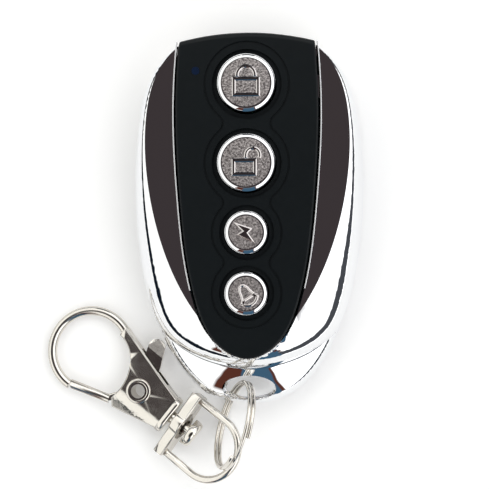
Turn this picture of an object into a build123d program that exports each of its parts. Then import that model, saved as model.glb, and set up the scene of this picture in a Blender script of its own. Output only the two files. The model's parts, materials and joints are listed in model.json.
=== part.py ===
"""Four-button gate remote with a split ring and a lobster clasp, lying on its back.

Millimetres. Origin at the middle of the flat back, +Z out of the button face, +Y towards the
plain end, -Y towards the key-ring lug. Every piece is one labelled solid or group of solids.
"""

import os
from math import cos, radians, sin

from build123d import *

os.makedirs("parts", exist_ok=True)

# Levels, from the back upwards
COVER_PLATE = 1.5  # thickness of the back cover's plate, and underside of the frame
COVER_FLOOR = 1.2  # what is left of the plate under its pocket
FLANK_LEVEL = 4.6  # where the frame is widest
SHOULDER_LEVEL = 8.0  # where the flank starts to roll over
FRAME_TOP = 11.4  # flat facets of the plated frame
FACET_THICK = 1.5  # the frame's roof under its facets
PANEL_PROUD = 0.4  # the black panel stands proud of the facets

# Plan of the frame, right half, from the lug end to the plain end: the widest line of the
# flank, and the edge of the flat facets
FLANK = [(0, -25.2), (8.5, -23.3), (14.4, -18.8), (16.9, -13.2), (18.8, -3.6), (19.4, 6.4),
         (18.7, 16.4), (16.5, 24.0), (11.2, 28.8), (5.8, 29.95), (0, 30.4)]
FACET = [(0, -20.8), (3.6, -19.9), (6.2, -17.9), (8.9, -14.6), (13.9, -4.2), (16.2, 6.0),
         (16.4, 17.0), (14.6, 23.7), (10.6, 28.2), (5.8, 29.3), (0, 29.7)]
UNDERCUT = 0.8  # how far the flank tucks in at its lower edge
FRAME_WALL = 1.4
ROOF_SHARE = 0.6  # how far the cavity draws in towards the facets above its step
CAVITY_STEP = 7.4

# Lug and its oval key-ring hole
LUG = [(0, -31.0), (5.6, -30.2), (10.1, -27.0), (12.6, -23.8), (14.5, -20.3), (15.6, -16.9),
       (15.2, -11.0), (9.0, -6.0), (0, -4.5)]
LUG_BOTTOM = 2.5
LUG_TOP = 5.6
LUG_EDGE_ROUND = 1.3
LUG_UNDER_ROUND = 0.5
LUG_HOLE_LONG = 7.9
LUG_HOLE_WIDE = 3.1
LUG_BAR = 1.1  # metal left between the hole and the end of the lug
LUG_HOLE_ROUND = 0.6

# Black panel: right edge of the tongue, from its tip to the plain end
TONGUE = [(0, -22.7), (4.9, -20.3), (8.3, -13.6), (10.9, 3.0), (11.6, 16.4), (11.0, 28.8)]
TONGUE_ARCH = 30.2  # crown of the plain end
SEAT_GAP = 0.15
SEAT_BEVEL = 0.3
END_WALL = 1.5
PANEL_ROUND = 0.3
END_ROUND = 0.9
FLANGE_THICK = 0.9
FLANGE_REACH = 1.0
FLANGE_INSIDE = 2.6
FLANGE_START = -17.5
FLANGE_END = 16.0

# Buttons, from the plain end down: name, centre, diameter
BUTTONS = [("lock", 21.7, 9.3), ("unlock", 8.9, 9.3), ("flash", -2.3, 6.9), ("bell", -12.1, 6.9)]
BUTTON_PROUD = 1.6  # flat face of the caps above the panel
BUTTON_BEVEL_HIGH = 0.9
BUTTON_BEVEL_WIDE = 0.55
BUTTON_GAP = 0.2
BUTTON_TRAVEL = 0.3
WELL_WIDE = 0.8
WELL_DEEP = 0.6
RETAINER_WIDE = 0.65
RETAINER_THICK = 0.7
RETAINER_GAP = 0.05

# Shallow outline that runs round the four buttons
OUTLINE_REACH = 2.35
OUTLINE_WIDE = 0.35
OUTLINE_DEEP = 0.2
OUTLINE_NECK_ROUND = 1.4

# Light pipe beside the first button
WINDOW_X = -8.3
WINDOW_Y = 23.9
WINDOW_D = 1.3
WINDOW_FLANGE_D = 2.2
WINDOW_FLANGE = 0.6
WINDOW_GAP = 0.03

# Circuit board
BOARD_LEVEL = 3.4
BOARD_THICK = 1.0
BOARD_GAP = 0.5
POST_D = 2.4
POSTS = [(12.5, 8.0), (11.5, -7.5), (-3.2, 15.3), (-9.0, -14.6)]

# Tactile switches under the buttons
SWITCH_SIDE = 6.0
SWITCH_TALL = 3.5
PLUNGER_D = 3.4
PLUNGER_GAP = 0.08
PLUNGER_PROUD = 0.9
PLUNGER_DEEP = 0.9
PLUNGER_ROOM = 0.6
SWITCH_LEG_WIDE = 0.7
SWITCH_LEG_THICK = 0.25
SWITCH_LEG_REACH = 1.1
SWITCH_LEG_RISE = 1.2
SWITCH_LEG_SPREAD = 4.5
SWITCH_CORNER = 0.4

# Lamp under the light pipe
LAMP_LONG = 2.0
LAMP_WIDE = 1.25
LAMP_TALL = 0.8
LAMP_GAP = 0.3

# 12 V cell, lengthwise on the left in a cut-out of the board
CELL_D = 8.0
CELL_LENGTH = 27.2
CELL_NUB_D = 3.4
CELL_NUB = 1.0
CELL_X = -9.2
CELL_MIDDLE = 4.6
CELL_GAP = 0.35
CONTACT_THICK = 0.3
CONTACT_WIDE = 5.0
CONTACT_FOOT = 2.2
CONTACT_FOOT_WIDE = 2.6
CONTACT_GAP = 0.05
SPRING_BOW = 1.2
CRADLE_THICK = 1.0
CRADLE_SPREAD = 16.0
CRADLE_RISE = 2.0
CELL_BEVEL = 0.35
CONTACT_TOP = 8.4
CONTACT_LEVEL = 2.2
SPRING_SPAN = 2.6

# Code chip, resonator, transistor, small parts and antenna on the board
CHIP_PLACE = (9.2, 1.0)
CHIP_WIDE = 3.9
CHIP_LONG = 8.7
CHIP_TALL = 1.4
CHIP_STAND = 0.15
CHIP_BEVEL = 0.25
CHIP_DOT_D = 0.8
CHIP_DOT_PLACE = 0.38  # share of the chip's length from its middle
CHIP_LEGS = 7
CHIP_PITCH = 1.27
CHIP_LEG_WIDE = 0.4
CHIP_LEG_THICK = 0.2
CHIP_LEG_REACH = 1.05
CAN_PLACE = (9.6, 13.2)
CAN_D = 8.2
CAN_BASE_D = 9.2
CAN_BASE = 0.5
CAN_TALL = 3.2
CAN_BEVEL = 0.4
TRANSISTOR = (1.4, 3.0, 1.1)
TRANSISTOR_PLACE = (10.6, -7.2)
CHIP_PART_LONG = 1.6
CHIP_PART_WIDE = 0.8
CHIP_PART_TALL = 0.5
CHIP_PARTS = [(6.9, -6.4), (6.9, -8.2), (6.9, -10.0), (13.4, -5.6), (13.4, -8.4), (14.6, 3.4),
              (14.6, 0.8), (5.6, 24.6), (-3.9, 25.6), (-0.6, 26.0)]
ANTENNA_X = 8.4
ANTENNA_Y = -14.3
ANTENNA_DRAW = 2.6
ANTENNA_END = -18.4
ANTENNA_RISE = 1.6
ANTENNA_BEND = 0.7
ANTENNA_D = 0.8

# Split ring through the lug hole
RING_CENTRE = (-2.4, -34.1, 7.5)
RING_ALONG = (-0.297, -0.955, 0.0)  # from the lug hole to the ring's far end
RING_ACROSS = (0.3, -0.0933, 0.949)  # upwards in the ring's own plane
RING_RADIUS = 7.2
RING_WIDE = 0.85
RING_THICK = 0.65
RING_LAYER = 0.345  # each coil's middle from the ring's middle plane
RING_CROSSOVER = 34.0
RING_STEPS = 4

# Clasp: U runs from the gate's eyelet along the swivel axis to the loop, V runs across it
CLASP_PLACE = (-19.07, -29.32, 2.16)
CLASP_TURN = -38.5
CLASP_TILT = 4.0
PLATE_THICK = 2.7
PLATE_OUTSIDE = [(-8.7, 5.35), (-8.5, 7.0), (-3.9, 5.75), (6.4, 2.95), (6.4, -3.0), (-2.0, -5.1),
                 (-3.1, -3.9)]
PLATE_WAIST = [(-2.9, -0.9), (-4.2, 2.7)]
PLATE_BEVEL = 0.25
HOOK_CENTRE = (-11.0, -0.2)
HOOK_RADIUS = 6.97
HOOK_D = 1.66
HOOK_TIP = 276.0
HOOK_ROOT = 66.0
COLLAR_START = 6.0
COLLAR_END = 7.1
COLLAR_LONG = 6.7
COLLAR_TALL = 3.4
COLLAR_ROUND = 0.45
SLOT_TALL = 1.5
SLOT = [(-5.2, 0.0), (-5.2, -8.0), (3.2, -8.0), (3.2, 8.0), (-4.2, 8.0), (-4.2, 3.0)]

# Gate: disc on the eyelet, arm, rod and thumb trigger
GATE_THICK = 0.9
GATE_DISC_D = 4.6
GATE_REACH = 12.2
GATE_ROD_D = 1.6
GATE_ROD = [(-3.3, -4.6), (-10.8, -7.05)]
GATE_ARM = [(-1.9, -1.2), (-4.0, -4.1), (-3.3, -4.9), (-0.4, -2.25)]
TRIGGER = [(1.3, 1.6), (0.6, 4.6), (0.2, 5.6), (-1.6, 9.2), (-4.3, 8.5), (-2.9, 4.9), (-1.5, 1.5)]
TRIGGER_ROUND = 1.3
TRIGGER_TAPER = [(6.6, 0.5), (9.0, -0.2), (9.3, -0.2), (9.3, 0.5)]  # thumb end, seen along U
TIP_GAP = 0.1

# Hollow eyelet that the gate turns on
EYELET_D = 3.1
EYELET_BORE_D = 2.4
EYELET_RIM_D = 4.3
EYELET_RIM = 0.35
EYELET_ROUND = 0.28
EYELET_GAP = 0.03
GATE_PIVOT_GAP = 0.06

# Small return spring in the slot beside the gate
GATE_SPRING_D = 0.3
GATE_SPRING_RADIUS = 2.0
GATE_SPRING_GAP = 0.02
GATE_SPRING_ANGLES = (100.0, -20.0, -140.0)  # start, middle and end of the open ring

# Headed post that joins the clasp to its loop
POST_STEM_D = 2.2
POST_FOOT = 5.2
POST_HEAD_D = 4.8
POST_HEAD_START = 10.8
POST_HEAD = 1.7
POST_DOME = 0.8

# Swivel loop: strap that the post turns in, with a D-shaped wire
LOOP_PLACE = 9.0
LOOP_TURN = 4.0
LOOP_TILT = 19.0
STRAP_LONG = 11.9
STRAP_WIDE = 3.4
STRAP_THICK = 1.1
STRAP_EYE_D = 4.6
STRAP_HOLE_D = 2.9
STRAP_ROUND = 0.3
LOOP_D = 1.3
LOOP_HALF = 5.35
LOOP_LEG = 6.55

# Screws and their bosses
SCREW_D = 1.7
SCREW_HEAD_D = 3.2
SCREW_HEAD = 0.8
SCREW_LENGTH = 5.0
SCREW_GAP = 0.02
SCREW_SUNK = 0.1
SCREW_CROSS = 1.8
SCREW_CROSS_WIDE = 0.4
SCREW_CROSS_DEEP = 0.45
BOSS_D = 4.2
TOP_BOSSES = [(12.6, 21.6), (-12.6, 21.6)]
LUG_BOSS = (0, -22.2)
COVER_LIP = 1.7
COVER_LIP_WALL = 1.1
COVER_GAP = 0.1
COVER_ROUND = 0.9

# Where the sizes above meet
PANEL_SEAT = FRAME_TOP - FACET_THICK
PANEL_TOP = FRAME_TOP + PANEL_PROUD
BUTTON_TOP = PANEL_TOP + BUTTON_PROUD
BOARD_TOP = BOARD_LEVEL + BOARD_THICK
SWITCH_TOP = BOARD_TOP + SWITCH_TALL
PLUNGER_TOP = SWITCH_TOP + PLUNGER_PROUD
RETAINER_TOP = PANEL_SEAT - RETAINER_GAP
RETAINER_LEVEL = RETAINER_TOP - RETAINER_THICK
CELL_Z = COVER_FLOOR + CELL_GAP + CELL_D / 2
CELL_START = CELL_MIDDLE - CELL_LENGTH / 2
CELL_END = CELL_MIDDLE + CELL_LENGTH / 2
LUG_END = -LUG[0][1]
LUG_HOLE_Y = -LUG_END + LUG_BAR + LUG_HOLE_WIDE / 2
TONGUE_END_X, TONGUE_END_Y = TONGUE[-1]
BOSSES = TOP_BOSSES + [LUG_BOSS]
FLANK_HALF = max(x for x, y in FLANK)
WINDOW_FOOT = BOARD_TOP + LAMP_TALL + LAMP_GAP
CELL_SLOT_EDGE = CELL_X + CELL_D / 2 + CELL_GAP
CELL_SLOT_LONG = CELL_LENGTH + 2 * (CELL_NUB + CONTACT_GAP + CONTACT_THICK + CELL_GAP)
PAST_END = 5.0  # how far a cut runs past the end of the part


def blend(share):
    """Plan points a share of the way from the flank to the edge of the facets."""
    return [
        (outer[0] + (inner[0] - outer[0]) * share, outer[1] + (inner[1] - outer[1]) * share)
        for outer, inner in zip(FLANK, FACET)
    ]


def drawn_in(points, distance):
    """The same right half moved inwards by a distance, square to its line at each point."""
    moved = []
    for index, (x, y) in enumerate(points):
        before = points[index - 1] if index else (-points[1][0], points[1][1])
        last = index == len(points) - 1
        after = (-points[-2][0], points[-2][1]) if last else points[index + 1]
        along = Vector(after[0] - before[0], after[1] - before[1]).normalized()
        moved.append((x - along.Y * distance, y + along.X * distance))
    return moved


def both_halves(points):
    """All points round an outline whose right half starts and ends on the middle line."""
    return points + [(-x, y) for x, y in reversed(points[1:-1])]


def closed_outline(points):
    """Closed symmetrical outline through the points of its right half."""
    Spline(*both_halves(points), periodic=True)


def tongue_side(distance=0.0):
    """Open edge of the black tongue round its tip, moved outwards by a distance."""
    right = drawn_in(TONGUE + [(TONGUE_END_X, TONGUE_END_Y + 1)], -distance)[:-1]
    return Spline(*([(-x, y) for x, y in reversed(right[1:])] + right))


def tongue_outline(distance=0.0):
    """Closed outline of the tongue with its arched plain end, moved outwards by a distance."""
    side = tongue_side(distance)
    ThreePointArc(side @ 1, (0, TONGUE_ARCH + distance), side @ 0)


def tongue_opening(distance):
    """Closed outline of the tongue that runs straight on past the plain end of the part."""
    side = tongue_side(distance)
    past = Vector(0, PAST_END)
    Polyline(side @ 1, side @ 1 + past, side @ 0 + past, side @ 0)


# Lug: a lower tier with a rounded rim, hidden inside the flank along its sides
LUG_SECTIONS = [
    (LUG_BOTTOM, LUG_UNDER_ROUND),
    (LUG_BOTTOM + LUG_UNDER_ROUND, 0.0),
    (LUG_TOP - LUG_EDGE_ROUND, 0.0),
    (LUG_TOP - 0.4 * LUG_EDGE_ROUND, 0.25 * LUG_EDGE_ROUND),
    (LUG_TOP, LUG_EDGE_ROUND),
]

with BuildPart() as lug:
    for level, inset in LUG_SECTIONS:
        with BuildSketch(Plane.XY.offset(level)):
            with BuildLine():
                closed_outline(drawn_in(LUG, inset))
            make_face()
    loft()
    with BuildSketch(Plane.XY.offset(LUG_BOTTOM)):
        with Locations((0, LUG_HOLE_Y)):
            Ellipse(LUG_HOLE_LONG / 2, LUG_HOLE_WIDE / 2)
    extrude(amount=LUG_TOP - LUG_BOTTOM, mode=Mode.SUBTRACT)
    for level, rim in [(LUG_TOP, 1), (LUG_BOTTOM, -1)]:
        for depth, reach in [(2 * LUG_HOLE_ROUND, 0.0), (0.0, LUG_HOLE_ROUND)]:
            with BuildSketch(Plane.XY.offset(level - rim * depth)):
                with Locations((0, LUG_HOLE_Y)):
                    Ellipse(LUG_HOLE_LONG / 2 + reach, LUG_HOLE_WIDE / 2 + reach)
        loft(ruled=True, mode=Mode.SUBTRACT)

# Chrome frame: level, share of the way to the facets, and how far it is drawn in
FRAME_SECTIONS = [
    (COVER_PLATE, 0.0, UNDERCUT),
    (FLANK_LEVEL, 0.0, 0.0),
    (SHOULDER_LEVEL, 0.06, 0.3),
    (SHOULDER_LEVEL + 1.9, 0.36, 0.2),
    (FRAME_TOP - 0.5, 0.7, 0.0),
    (FRAME_TOP, 1.0, 0.0),
]

with BuildPart() as chrome_frame:
    for level, share, inset in FRAME_SECTIONS:
        with BuildSketch(Plane.XY.offset(level)):
            with BuildLine():
                closed_outline(drawn_in(blend(share), inset))
            make_face()
    loft()
    add(lug.part)
    for level, top, share in [
        (COVER_PLATE, CAVITY_STEP, 0.0),
        (CAVITY_STEP, PANEL_SEAT, ROOF_SHARE),
    ]:
        with BuildSketch(Plane.XY.offset(level)):
            with BuildLine():
                closed_outline(drawn_in(blend(share), FRAME_WALL))
            make_face()
        extrude(amount=top - level, mode=Mode.SUBTRACT)
    for places, top in [(TOP_BOSSES, PANEL_SEAT), ([LUG_BOSS], CAVITY_STEP)]:
        with BuildSketch(Plane.XY.offset(COVER_PLATE)):
            with Locations(*places):
                Circle(BOSS_D / 2)
                Circle(SCREW_D / 2 + SCREW_GAP, mode=Mode.SUBTRACT)
        extrude(amount=top - COVER_PLATE)
    with BuildSketch(Plane.XY.offset(PANEL_SEAT)):
        with BuildLine():
            tongue_opening(SEAT_GAP)
        make_face()
    extrude(amount=FRAME_TOP - PANEL_SEAT, mode=Mode.SUBTRACT)
    with BuildSketch(Plane.XY.offset(COVER_PLATE)):
        with Locations((0, TONGUE_END_Y + PAST_END / 2 - END_WALL)):
            Rectangle(2 * (TONGUE_END_X + SEAT_GAP), PAST_END + 2 * END_WALL)
    extrude(amount=FRAME_TOP - COVER_PLATE, mode=Mode.SUBTRACT)
    for level, reach in [(FRAME_TOP - SEAT_BEVEL, SEAT_GAP), (FRAME_TOP, SEAT_GAP + SEAT_BEVEL)]:
        with BuildSketch(Plane.XY.offset(level)):
            with BuildLine():
                side = tongue_side(reach)
                Line(side @ 1, side @ 0)
            make_face()
    loft(ruled=True, mode=Mode.SUBTRACT)
chrome_frame.part.label = "chrome_frame"
export_step(chrome_frame.part, "parts/chrome_frame.step")


def button_outline(inset):
    """Joined circles round the four buttons, moved inwards by a distance."""
    with BuildSketch() as joined:
        for name, centre, diameter in BUTTONS:
            with Locations((0, centre)):
                Circle(diameter / 2 + OUTLINE_REACH - inset)
        necks = joined.vertices().filter_by(lambda corner: abs(corner.X) > 1)
        fillet(necks, radius=OUTLINE_NECK_ROUND + inset)
    return joined.sketch


OUTLINES = [button_outline(inset) for inset in (0.0, OUTLINE_WIDE)]

# Black front panel: face, end wall over the plain end, wells, outline and hidden flange
with BuildPart() as front_panel:
    with BuildSketch(Plane.XY.offset(PANEL_SEAT)):
        with BuildLine():
            tongue_outline()
        make_face()
    extrude(amount=PANEL_TOP - PANEL_SEAT)
    top_edges = front_panel.edges().group_by(Axis.Z)[-1]
    fillet(top_edges.filter_by(GeomType.CIRCLE), radius=END_ROUND)
    fillet(front_panel.edges().group_by(Axis.Z)[-1].filter_by(GeomType.BSPLINE), radius=PANEL_ROUND)
    with BuildSketch(Plane.XY.offset(COVER_PLATE)):
        with BuildLine():
            outer_arch = ThreePointArc(
                (TONGUE_END_X, TONGUE_END_Y), (0, TONGUE_ARCH), (-TONGUE_END_X, TONGUE_END_Y)
            )
            Line(outer_arch @ 1, outer_arch @ 1 - Vector(0, END_WALL))
            ThreePointArc(
                outer_arch @ 1 - Vector(0, END_WALL),
                (0, TONGUE_ARCH - END_WALL),
                outer_arch @ 0 - Vector(0, END_WALL),
            )
            Line(outer_arch @ 0 - Vector(0, END_WALL), outer_arch @ 0)
        make_face()
    extrude(amount=PANEL_SEAT - COVER_PLATE)
    with BuildSketch(Plane.XY.offset(PANEL_SEAT - FLANGE_THICK)):
        with BuildLine():
            tongue_opening(FLANGE_REACH)
        make_face()
        with BuildLine():
            tongue_opening(-FLANGE_INSIDE)
        make_face(mode=Mode.SUBTRACT)
        kept = CELL_X + CELL_D / 2
        with Locations((kept, FLANGE_START)):
            Rectangle(2 * FLANK_HALF, FLANGE_END - FLANGE_START, align=Align.MIN, mode=Mode.INTERSECT)
    extrude(amount=FLANGE_THICK)
    for name, centre, diameter in BUTTONS:
        with Locations((0, centre, PANEL_TOP)):
            CounterBoreHole(
                radius=diameter / 2 + BUTTON_GAP,
                counter_bore_radius=diameter / 2 + BUTTON_GAP + WELL_WIDE,
                counter_bore_depth=WELL_DEEP,
                depth=PANEL_TOP - PANEL_SEAT,
            )
    with BuildSketch(Plane.XY.offset(PANEL_TOP)):
        add(OUTLINES[0])
        add(OUTLINES[1], mode=Mode.SUBTRACT)
    extrude(amount=-OUTLINE_DEEP, mode=Mode.SUBTRACT)
    with Locations((WINDOW_X, WINDOW_Y, PANEL_TOP)):
        Hole(radius=WINDOW_D / 2 + WINDOW_GAP, depth=PANEL_TOP - PANEL_SEAT)
front_panel.part.label = "front_panel"
export_step(front_panel.part, "parts/front_panel.step")

# Light pipe: flanged under the panel, down to the lamp on the board
with BuildPart() as led_window:
    with Locations((WINDOW_X, WINDOW_Y, PANEL_TOP)):
        Cylinder(WINDOW_D / 2, PANEL_TOP - WINDOW_FOOT, align=(Align.CENTER, Align.CENTER, Align.MAX))
    with Locations((WINDOW_X, WINDOW_Y, PANEL_SEAT)):
        Cylinder(WINDOW_FLANGE_D / 2, WINDOW_FLANGE, align=(Align.CENTER, Align.CENTER, Align.MAX))
led_window.part.label = "led_window"
export_step(led_window.part, "parts/led_window.step")


def button_cap(name, centre, diameter):
    """Plated cap with a bevelled rim, a retaining flange under the panel and a centre nub."""
    with BuildPart(Plane.XY.offset(BUTTON_TOP)) as cap:
        with Locations((0, centre)):
            Cylinder(
                diameter / 2,
                BUTTON_TOP - RETAINER_LEVEL,
                align=(Align.CENTER, Align.CENTER, Align.MAX),
            )
        rim = cap.edges().filter_by(GeomType.CIRCLE).sort_by(Axis.Z)[-1]
        chamfer(
            rim,
            length=BUTTON_BEVEL_HIGH,
            length2=BUTTON_BEVEL_WIDE,
            reference=cap.faces().filter_by(GeomType.CYLINDER)[0],
        )
        with Locations((0, centre, RETAINER_TOP - BUTTON_TOP)):
            Cylinder(
                diameter / 2 + BUTTON_GAP + RETAINER_WIDE,
                RETAINER_THICK,
                align=(Align.CENTER, Align.CENTER, Align.MAX),
            )
        with Locations((0, centre, RETAINER_LEVEL - BUTTON_TOP)):
            Cylinder(
                PLUNGER_D / 2,
                RETAINER_LEVEL - PLUNGER_TOP,
                align=(Align.CENTER, Align.CENTER, Align.MAX),
            )
    cap.part.label = f"{name}_button"
    return cap.part


def switch_body(name, centre):
    """Square tactile switch body with a bore for its plunger."""
    with BuildPart(Plane.XY.offset(BOARD_TOP)) as body:
        with Locations((0, centre)):
            Box(SWITCH_SIDE, SWITCH_SIDE, SWITCH_TALL, align=(Align.CENTER, Align.CENTER, Align.MIN))
        chamfer(body.edges().filter_by(Axis.Z), length=SWITCH_CORNER)
        with Locations((0, centre, SWITCH_TALL)):
            Hole(radius=PLUNGER_D / 2 + PLUNGER_GAP, depth=PLUNGER_DEEP + PLUNGER_ROOM)
    body.part.label = f"{name}_switch"
    return body.part


def switch_plunger(name, centre):
    """Round plunger that its button pushes down into the switch."""
    with BuildPart(Plane.XY.offset(PLUNGER_TOP)) as plunger:
        with Locations((0, centre)):
            Cylinder(
                PLUNGER_D / 2,
                PLUNGER_PROUD + PLUNGER_DEEP,
                align=(Align.CENTER, Align.CENTER, Align.MAX),
            )
    plunger.part.label = f"{name}_plunger"
    return plunger.part


for name, centre, diameter in BUTTONS:
    for piece in (
        button_cap(name, centre, diameter),
        switch_body(name, centre),
        switch_plunger(name, centre),
    ):
        export_step(piece, f"parts/{piece.label}.step")

# Four legs on each switch, bent out onto the board
with BuildPart() as switch_legs:
    for name, centre, diameter in BUTTONS:
        for side in (1, -1):
            for row in (1, -1):
                foot_x = side * (SWITCH_SIDE + SWITCH_LEG_REACH) / 2
                foot_y = centre + row * SWITCH_LEG_SPREAD / 2
                with Locations((foot_x, foot_y, BOARD_TOP)):
                    Box(SWITCH_LEG_REACH, SWITCH_LEG_WIDE, SWITCH_LEG_THICK,
                        align=(Align.CENTER, Align.CENTER, Align.MIN))
                riser_x = side * (SWITCH_SIDE + SWITCH_LEG_THICK) / 2
                with Locations((riser_x, foot_y, BOARD_TOP)):
                    Box(SWITCH_LEG_THICK, SWITCH_LEG_WIDE, SWITCH_LEG_RISE,
                        align=(Align.CENTER, Align.CENTER, Align.MIN))
switch_legs.part.label = "switch_legs"
export_step(switch_legs.part, "parts/switch_legs.step")

# Circuit board: follows the frame's wall, cut out for the cell and the bosses
with BuildPart() as circuit_board:
    with BuildSketch(Plane.XY.offset(BOARD_LEVEL)):
        with BuildLine():
            closed_outline(drawn_in(blend(0.0), FRAME_WALL + BOARD_GAP))
        make_face()
        with Locations(*BOSSES):
            Circle(BOSS_D / 2 + BOARD_GAP, mode=Mode.SUBTRACT)
        with Locations(((CELL_SLOT_EDGE - PAST_END - FLANK_HALF) / 2, CELL_MIDDLE)):
            Rectangle(CELL_SLOT_EDGE + PAST_END + FLANK_HALF, CELL_SLOT_LONG, mode=Mode.SUBTRACT)
        with Locations((0, TONGUE_END_Y - END_WALL - BOARD_GAP + PAST_END / 2)):
            Rectangle(2 * FLANK_HALF, PAST_END, mode=Mode.SUBTRACT)
    extrude(amount=BOARD_THICK)
circuit_board.part.label = "circuit_board"
export_step(circuit_board.part, "parts/circuit_board.step")

# 12 V cell with its positive nub towards the plain end
with BuildPart(Plane((CELL_X, CELL_START, CELL_Z), x_dir=(1, 0, 0), z_dir=(0, 1, 0))) as battery:
    Cylinder(CELL_D / 2, CELL_LENGTH, align=(Align.CENTER, Align.CENTER, Align.MIN))
    chamfer(battery.edges().filter_by(GeomType.CIRCLE), length=CELL_BEVEL)
    with Locations((0, 0, CELL_LENGTH)):
        Cylinder(CELL_NUB_D / 2, CELL_NUB, align=(Align.CENTER, Align.CENTER, Align.MIN))
battery.part.label = "battery"
export_step(battery.part, "parts/battery.step")


def contact_tab(name, face_y, outwards):
    """Bent tab by one end of the cell: upright plate with a narrower foot on the board."""
    with BuildPart() as tab:
        with BuildSketch(Plane.YZ.offset(CELL_X - CONTACT_WIDE / 2)):
            with Locations((face_y + outwards * CONTACT_THICK / 2, CONTACT_LEVEL)):
                Rectangle(CONTACT_THICK, CONTACT_TOP - CONTACT_LEVEL, align=(Align.CENTER, Align.MIN))
            if outwards < 0:
                with BuildLine():
                    outer = bow_arc(face_y, 0.0)
                    inner = bow_arc(face_y, CONTACT_THICK)
                    Line(outer @ 0, inner @ 0)
                    Line(outer @ 1, inner @ 1)
                make_face()
        extrude(amount=CONTACT_WIDE)
        with BuildSketch(Plane.XY.offset(BOARD_TOP)):
            reach = CONTACT_THICK + CELL_GAP + CONTACT_FOOT
            with Locations((CELL_X + CONTACT_WIDE / 2, face_y + outwards * reach / 2)):
                Rectangle(CONTACT_FOOT_WIDE, reach, align=(Align.MAX, Align.CENTER))
        extrude(amount=CONTACT_THICK)
    tab.part.label = name
    return tab.part


def bow_arc(face_y, inset):
    """Arc of the bowed tongue that presses on the cell, moved inwards by its thickness."""
    return ThreePointArc(
        (face_y, CELL_Z - SPRING_SPAN + inset),
        (face_y + SPRING_BOW - inset, CELL_Z),
        (face_y, CELL_Z + SPRING_SPAN - inset),
    )


for piece in (
    contact_tab("contact_plate", CELL_END + CELL_NUB + CONTACT_GAP, 1),
    contact_tab("contact_spring", CELL_START - CONTACT_GAP - SPRING_BOW, -1),
):
    export_step(piece, f"parts/{piece.label}.step")

# Lamp below the light pipe
with BuildPart(Plane.XY.offset(BOARD_TOP)) as status_led:
    with Locations((WINDOW_X, WINDOW_Y)):
        Box(LAMP_LONG, LAMP_WIDE, LAMP_TALL, align=(Align.CENTER, Align.CENTER, Align.MIN))
    fillet(status_led.edges().group_by(Axis.Z)[-1], radius=LAMP_TALL / 4)
status_led.part.label = "status_led"
export_step(status_led.part, "parts/status_led.step")

# Code chip, with its gull-wing legs in a node of their own
with BuildPart(Plane.XY.offset(BOARD_TOP + CHIP_STAND)) as encoder_chip:
    with Locations(CHIP_PLACE):
        Box(CHIP_WIDE, CHIP_LONG, CHIP_TALL, align=(Align.CENTER, Align.CENTER, Align.MIN))
    chamfer(encoder_chip.edges().group_by(Axis.Z)[-1], length=CHIP_BEVEL)
    dot_y = CHIP_PLACE[1] + CHIP_DOT_PLACE * CHIP_LONG
    with Locations((CHIP_PLACE[0] - CHIP_WIDE / 4, dot_y, CHIP_TALL)):
        Hole(radius=CHIP_DOT_D / 2, depth=CHIP_BEVEL / 2)
encoder_chip.part.label = "encoder_chip"
export_step(encoder_chip.part, "parts/encoder_chip.step")

with BuildPart(Plane.XY.offset(BOARD_TOP)) as chip_legs:
    for side in (1, -1):
        for leg in range(CHIP_LEGS):
            leg_y = CHIP_PLACE[1] + (leg - (CHIP_LEGS - 1) / 2) * CHIP_PITCH
            inner_x = CHIP_PLACE[0] + side * CHIP_WIDE / 2
            with Locations((inner_x + side * CHIP_LEG_REACH / 2, leg_y)):
                Box(CHIP_LEG_REACH, CHIP_LEG_WIDE, CHIP_LEG_THICK,
                    align=(Align.CENTER, Align.CENTER, Align.MIN))
            with Locations((inner_x + side * CHIP_LEG_THICK / 2, leg_y)):
                Box(CHIP_LEG_THICK, CHIP_LEG_WIDE, CHIP_STAND + CHIP_TALL / 2,
                    align=(Align.CENTER, Align.CENTER, Align.MIN))
chip_legs.part.label = "chip_legs"
export_step(chip_legs.part, "parts/chip_legs.step")

# Resonator: a round metal can on a flanged base
with BuildPart(Plane.XY.offset(BOARD_TOP)) as saw_resonator:
    with Locations(CAN_PLACE):
        Cylinder(CAN_BASE_D / 2, CAN_BASE, align=(Align.CENTER, Align.CENTER, Align.MIN))
        Cylinder(CAN_D / 2, CAN_TALL, align=(Align.CENTER, Align.CENTER, Align.MIN))
    chamfer(saw_resonator.edges().group_by(Axis.Z)[-1], length=CAN_BEVEL)
saw_resonator.part.label = "saw_resonator"
export_step(saw_resonator.part, "parts/saw_resonator.step")

# Radio transistor with its three legs
with BuildPart(Plane.XY.offset(BOARD_TOP)) as radio_transistor:
    with Locations(TRANSISTOR_PLACE):
        Box(*TRANSISTOR, align=(Align.CENTER, Align.CENTER, Align.MIN))
    chamfer(radio_transistor.edges().group_by(Axis.Z)[-1], length=CHIP_BEVEL)
    across, long, tall = TRANSISTOR
    for side, row in ((1, 0), (-1, 1), (-1, -1)):
        foot_x = TRANSISTOR_PLACE[0] + side * (across + CHIP_LEG_REACH) / 2
        with Locations((foot_x, TRANSISTOR_PLACE[1] + row * long / 3)):
            Box(CHIP_LEG_REACH, CHIP_LEG_WIDE, CHIP_LEG_THICK,
                align=(Align.CENTER, Align.CENTER, Align.MIN))
radio_transistor.part.label = "radio_transistor"
export_step(radio_transistor.part, "parts/radio_transistor.step")

# Chip resistors and capacitors
with BuildPart(Plane.XY.offset(BOARD_TOP)) as chip_parts:
    with Locations(*CHIP_PARTS):
        Box(CHIP_PART_LONG, CHIP_PART_WIDE, CHIP_PART_TALL,
            align=(Align.CENTER, Align.CENTER, Align.MIN))
chip_parts.part.label = "chip_parts"
export_step(chip_parts.part, "parts/chip_parts.step")

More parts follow.
